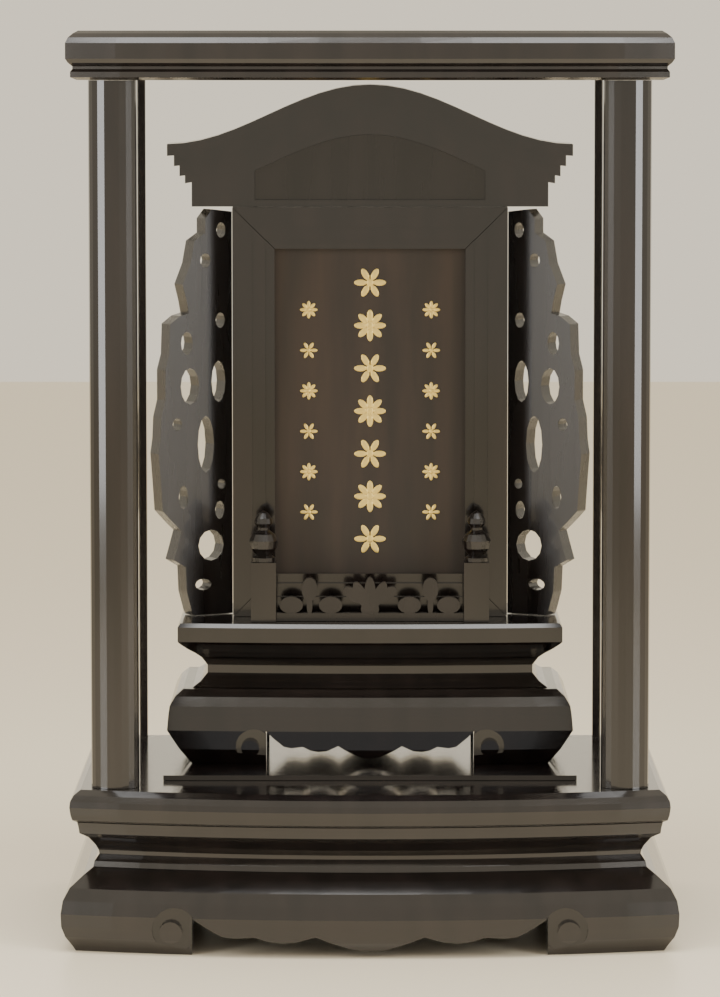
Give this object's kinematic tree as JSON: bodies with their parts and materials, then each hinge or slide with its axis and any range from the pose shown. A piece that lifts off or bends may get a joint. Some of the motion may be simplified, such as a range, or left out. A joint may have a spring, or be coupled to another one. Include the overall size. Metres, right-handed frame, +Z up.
{
  "type": "ancestor shrine",
  "caption": "Open-fronted black lacquer display case on a bow-fronted plinth, holding a framed ancestral tablet with openwork wings, lotus balustrade and curved roof.",
  "frame": {"origin": "middle of the footprint, on the surface the feet stand on", "axes": "+Z up, +Y to the back, the open front faces -Y"},
  "size_m": [0.458, 0.346, 0.68],
  "materials": {
    "black_lacquer": "gloss",
    "satin_board": "satin",
    "carved_wood": "satin",
    "clear_glass": "gloss",
    "name_slip": "matte"
  },
  "bodies": {
    "case": {"plinth_apron_front": "black_lacquer", "plinth_apron_back": "black_lacquer", "plinth_apron_left": "black_lacquer", "plinth_apron_right": "black_lacquer", "plinth_waist_frame": "black_lacquer", "plinth_top_board": "black_lacquer", "corner_block_front_left": "satin_board", "corner_block_back_left": "satin_board", "corner_block_front_right": "satin_board", "corner_block_back_right": "satin_board", "front_post_left": "black_lacquer", "front_post_right": "black_lacquer", "rear_post_left": "black_lacquer", "rear_post_right": "black_lacquer", "side_glass_left": "clear_glass", "side_glass_right": "clear_glass", "back_glass": "clear_glass", "floor_board": "black_lacquer", "cap_frame": "black_lacquer", "cap_panel": "black_lacquer"},
    "tablet": {"tablet_apron_front": "black_lacquer", "tablet_apron_back": "black_lacquer", "tablet_apron_left": "black_lacquer", "tablet_apron_right": "black_lacquer", "tablet_waist": "black_lacquer", "tablet_slab": "black_lacquer", "newel_left": "black_lacquer", "newel_right": "black_lacquer", "finial_left": "carved_wood", "finial_right": "carved_wood", "lotus_balustrade": "carved_wood", "frame_stile_left": "black_lacquer", "frame_stile_right": "black_lacquer", "frame_rail_top": "black_lacquer", "frame_rail_bottom": "black_lacquer", "inscription_board": "satin_board", "box_side_left": "black_lacquer", "box_side_right": "black_lacquer", "box_bottom": "black_lacquer", "box_top": "black_lacquer", "name_slip_1": "name_slip", "name_slip_2": "name_slip", "name_slip_3": "name_slip", "name_slip_4": "name_slip", "roof_board": "black_lacquer", "carved_roof_panel": "carved_wood", "wing_left": "carved_wood", "wing_right": "carved_wood"},
    "back_board": {"sliding_back_board": "satin_board"}
  },
  "joints": [
    {"name": "tablet_slide", "type": "slide", "parent": "case", "child": "tablet", "axis": [0, -1, 0], "range_m": [0, 0.32]},
    {"name": "back_board_slide", "type": "slide", "parent": "tablet", "child": "back_board", "axis": [0, 0, 1], "range_m": [0, 0.085]}
  ]
}
